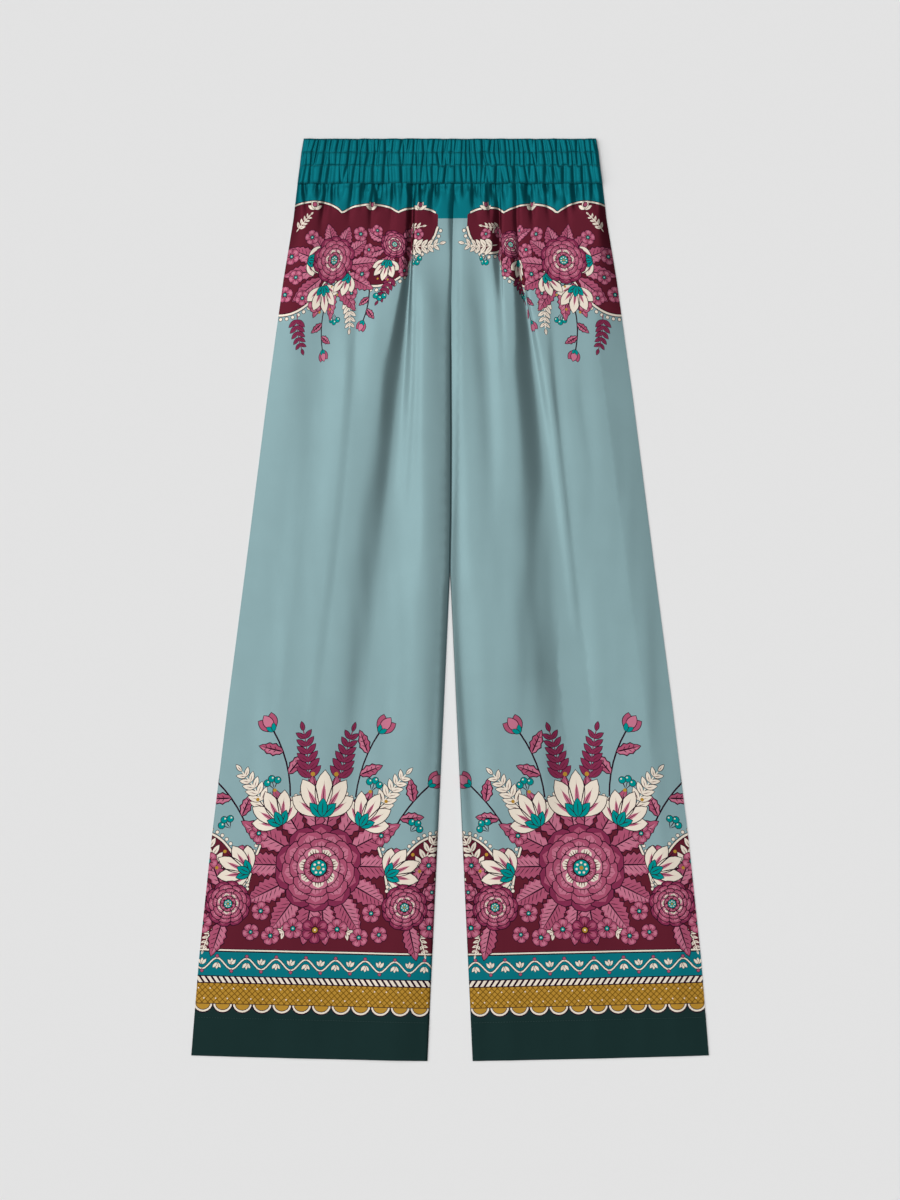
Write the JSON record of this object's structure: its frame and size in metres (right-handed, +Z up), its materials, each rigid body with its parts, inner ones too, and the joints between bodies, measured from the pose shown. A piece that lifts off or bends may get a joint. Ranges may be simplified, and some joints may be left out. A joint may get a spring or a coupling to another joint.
{
  "type": "palazzo pants",
  "caption": "Wide-leg pull-on trousers in printed silk, laid flat on their back, with a gathered elastic waistband sewn into channels, soft folds and turned-up hems.",
  "frame": {"origin": "middle of the garment's outline, on the surface that it lies on", "axes": "+Y towards the waist, +Z up, away from the surface, out of the front of the garment, +X towards the wearer's left leg"},
  "size_m": [0.595, 1.06, 0.0085],
  "materials": {
    "printed_silk": "satin silk, grey-blue ground with a printed flower border at the hips and hems",
    "waistband_silk": "satin silk, plain teal, gathered over elastic",
    "sewing_thread": "matt polyester thread"
  },
  "bodies": {
    "root": {"front_leg_right": "printed_silk", "front_leg_left": "printed_silk", "back_leg_right": "printed_silk", "back_leg_left": "printed_silk", "waistband_front": "waistband_silk", "waistband_back": "waistband_silk"}
  },
  "joints": []
}
